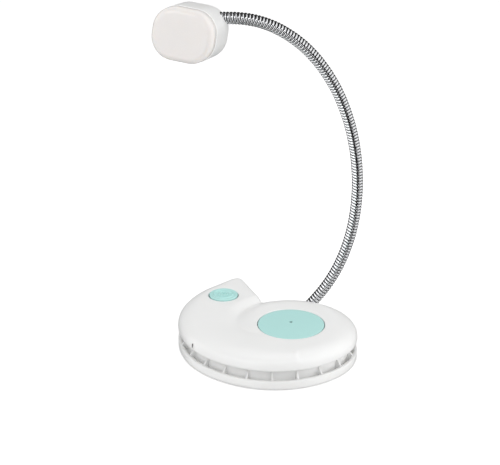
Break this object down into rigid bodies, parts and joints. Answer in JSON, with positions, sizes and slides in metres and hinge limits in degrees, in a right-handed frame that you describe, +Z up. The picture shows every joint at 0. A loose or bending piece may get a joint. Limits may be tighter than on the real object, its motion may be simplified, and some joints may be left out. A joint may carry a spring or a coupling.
{
  "type": "clip-on reading lamp",
  "caption": "Snail-shaped sprung clip with round teal trim and power button, a curved chrome gooseneck and a small rounded LED head with a milky diffuser.",
  "frame": {"origin": "on the axis of the round trim disc, at the flat underside of the lower jaw", "axes": "+Z up; -Y towards the clip's mouth and the way the head faces; +Y towards the clip's hinge; +X to the right"},
  "size_m": [0.0866, 0.0827, 0.1555],
  "materials": {
    "white_shell": "moulded white ABS, soft gloss",
    "teal_trim": "pale mint-teal ABS, satin gloss",
    "diffuser": "milky polycarbonate",
    "neck_chrome": "chrome-plated wound steel",
    "steel": "zinc-plated steel",
    "silicone": "soft white silicone",
    "lead_jacket": "PVC insulation",
    "circuit_board": "green solder mask",
    "board_white": "white solder mask on aluminium board",
    "switch_black": "black moulded plastic",
    "led_phosphor": "phosphor-filled resin",
    "battery_foil": "laminated foil pouch",
    "foam": "closed-cell foam",
    "clear_pipe": "smoked clear acrylic",
    "dark_window": "dark acrylic",
    "reflector_sheet": "white PET film"
  },
  "bodies": {
    "lower_jaw": {"lower_jaw": "white_shell", "jaw_pad": "silicone", "hinge_pin": "steel", "torsion_spring": "steel"},
    "housing": {"top_shell": "white_shell", "bottom_cover": "white_shell", "housing_pad": "silicone", "cover_screws": "steel", "trim_disc": "teal_trim", "light_pipe": "clear_pipe", "indicator_window": "dark_window", "main_board": "circuit_board", "usb_socket": "steel", "tact_switch": "switch_black", "charge_led": "led_phosphor", "board_screws": "steel", "battery": "battery_foil", "battery_foam": "foam", "battery_leads": "lead_jacket", "neck_ferrule": "steel", "neck_set_screw": "steel", "foot_lead": "lead_jacket", "neck_section_1": "neck_chrome", "neck_wire_1": "lead_jacket"},
    "power_button": {"power_button": "teal_trim"},
    "neck_2": {"neck_section_2": "neck_chrome", "neck_wire_2": "lead_jacket"},
    "neck_3": {"neck_section_3": "neck_chrome", "neck_wire_3": "lead_jacket"},
    "neck_4": {"neck_section_4": "neck_chrome", "neck_wire_4": "lead_jacket"},
    "neck_5": {"neck_section_5": "neck_chrome", "neck_wire_5": "lead_jacket"},
    "neck_6": {"neck_section_6": "neck_chrome", "neck_wire_6": "lead_jacket"},
    "neck_7": {"neck_section_7": "neck_chrome", "neck_wire_7": "lead_jacket"},
    "head": {"neck_section_8": "neck_chrome", "neck_wire_8": "lead_jacket", "head_shell": "white_shell", "diffuser": "diffuser", "led_board": "board_white", "leds": "led_phosphor", "reflector": "reflector_sheet", "head_ferrule": "steel"}
  },
  "joints": [
    {"name": "clip_hinge", "type": "hinge", "parent": "lower_jaw", "child": "housing", "pos_m": [0, 0.036, 0.0054], "axis": [-1, 0, 0], "range_deg": [0, 20], "stiffness_Nm_per_rad": 0.4, "springref_deg": -20.05, "deforming": ["torsion_spring"]},
    {"name": "power_press", "type": "slide", "parent": "housing", "child": "power_button", "axis": [0, 0, -1], "range_m": [0, 0.0005], "stiffness_N_per_m": 600, "springref_m": -0.001},
    {"name": "neck_curl_1", "type": "hinge", "parent": "housing", "child": "neck_2", "pos_m": [0.02264, 0.03148, 0.02993], "axis": [0.2624, -0.9527, -0.153], "range_deg": [-20, 15]},
    {"name": "neck_sway_1", "type": "hinge", "parent": "neck_2", "child": "neck_3", "pos_m": [0.02798, 0.02969, 0.05023], "axis": [-0.9558, -0.2785, 0.0947], "range_deg": [-18, 18]},
    {"name": "neck_curl_2", "type": "hinge", "parent": "neck_3", "child": "neck_4", "pos_m": [0.02882, 0.02658, 0.07108], "axis": [0.2624, -0.9527, -0.153], "range_deg": [-20, 15]},
    {"name": "neck_sway_2", "type": "hinge", "parent": "neck_4", "child": "neck_5", "pos_m": [0.02594, 0.02249, 0.09157], "axis": [-0.9399, -0.2165, -0.2641], "range_deg": [-18, 18]},
    {"name": "neck_curl_3", "type": "hinge", "parent": "neck_5", "child": "neck_6", "pos_m": [0.01947, 0.01758, 0.11104], "axis": [0.2624, -0.9527, -0.153], "range_deg": [-20, 15]},
    {"name": "neck_sway_3", "type": "hinge", "parent": "neck_6", "child": "neck_7", "pos_m": [0.009, 0.01191, 0.12843], "axis": [-0.7606, -0.1066, -0.6405], "range_deg": [-18, 18]},
    {"name": "neck_curl_4", "type": "hinge", "parent": "neck_7", "child": "head", "pos_m": [-0.00599, 0.00564, 0.14177], "axis": [0.2624, -0.9527, -0.153], "range_deg": [-20, 15]}
  ]
}
